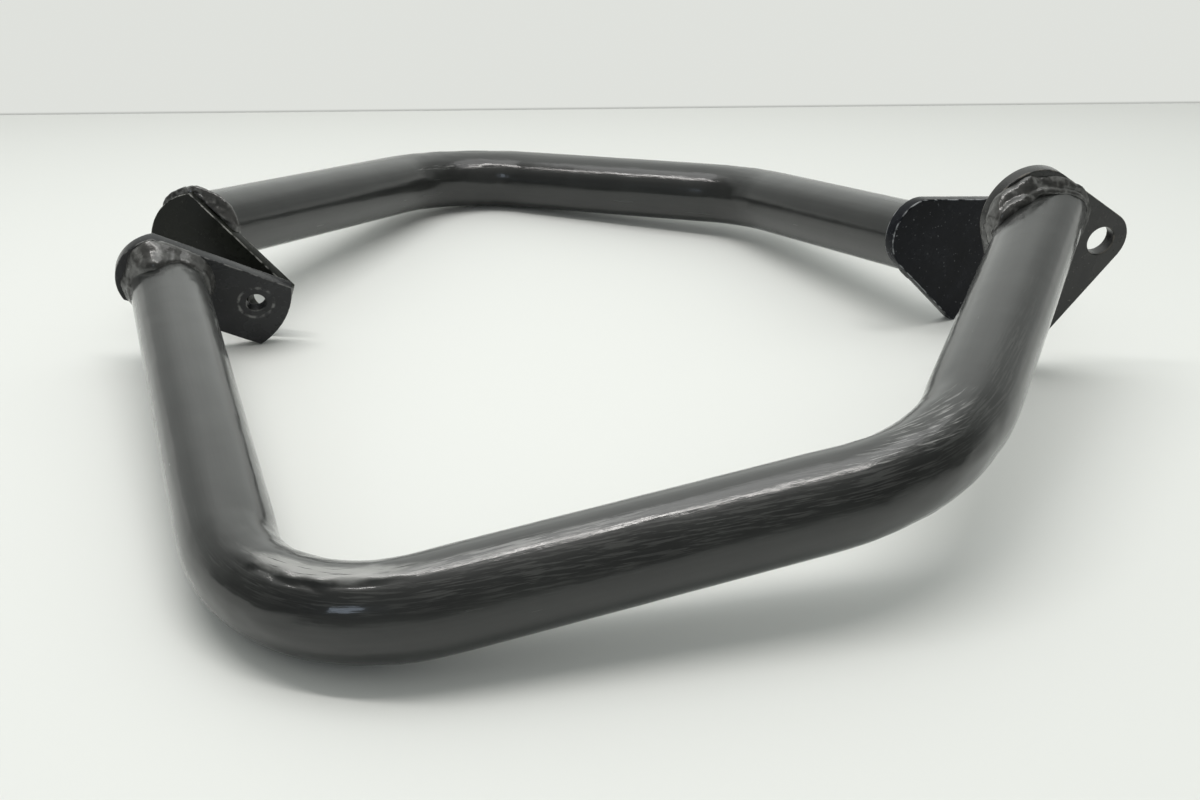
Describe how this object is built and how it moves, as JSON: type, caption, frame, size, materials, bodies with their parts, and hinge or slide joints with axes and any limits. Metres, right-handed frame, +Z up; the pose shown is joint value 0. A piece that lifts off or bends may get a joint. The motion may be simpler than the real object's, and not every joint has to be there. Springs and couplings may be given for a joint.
{
  "type": "motorcycle crash bars",
  "caption": "Pair of bent round-tube crash bars in black painted steel, each with a bolt-on strip plate and a three-cornered bolt-on plate welded over its ends.",
  "frame": {"origin": "on the table under the middle of the pair's box", "axes": "+Z up from the table, +X to the right along the bars' middle runs, +Y away from the viewer"},
  "size_m": [0.4528, 0.4948, 0.099],
  "materials": {
    "tube_paint": "gloss, scuffed",
    "plate_paint": "satin, worn at the edges",
    "weld_paint": "gloss, lumpy"
  },
  "bodies": {
    "root": {"near_tube": "tube_paint", "near_strip_plate": "plate_paint", "near_triangle_plate": "plate_paint", "near_strip_weld": "weld_paint", "near_triangle_weld": "weld_paint", "far_tube": "tube_paint", "far_strip_plate": "plate_paint", "far_triangle_plate": "plate_paint", "far_strip_weld": "weld_paint", "far_triangle_weld": "weld_paint"}
  },
  "joints": []
}
